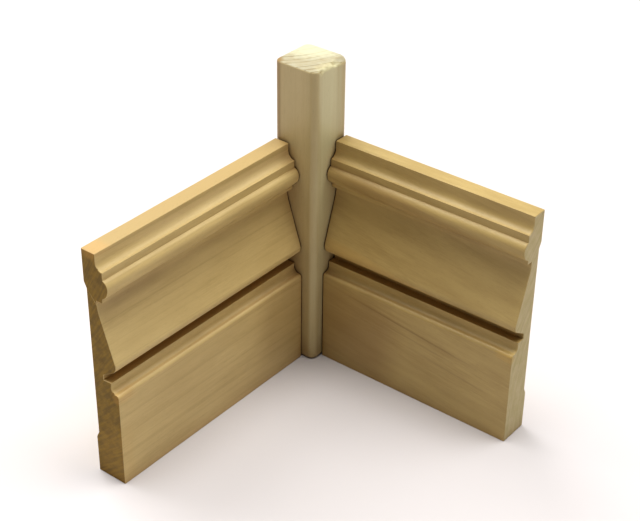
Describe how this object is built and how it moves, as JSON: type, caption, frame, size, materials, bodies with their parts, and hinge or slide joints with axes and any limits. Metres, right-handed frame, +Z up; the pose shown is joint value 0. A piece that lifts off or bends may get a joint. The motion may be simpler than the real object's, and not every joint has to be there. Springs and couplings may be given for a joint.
{
  "type": "inside corner base block with base mouldings",
  "caption": "Square wooden corner block, taller than the moulded base boards that butt against its room faces to turn an inside corner without a mitre.",
  "frame": {"origin": "centre of the corner block's underside, on the floor", "axes": "+Z up along the block; one board runs from the block along -Y with its face towards +X, the other along +X with its face towards -Y; the room's corner is behind the block, towards -X and +Y"},
  "size_m": [0.1566, 0.1766, 0.186],
  "materials": {
    "block_wood": "bare pale hardwood, sanded, straight upright grain with grey-green streaks and fuzzy cut ends",
    "moulding_wood": "bare pale hardwood, machine moulded, warm tan with fine lengthwise grain"
  },
  "bodies": {
    "root": {"corner_block": "block_wood", "base_moulding_left": "moulding_wood", "base_moulding_right": "moulding_wood"}
  },
  "joints": []
}
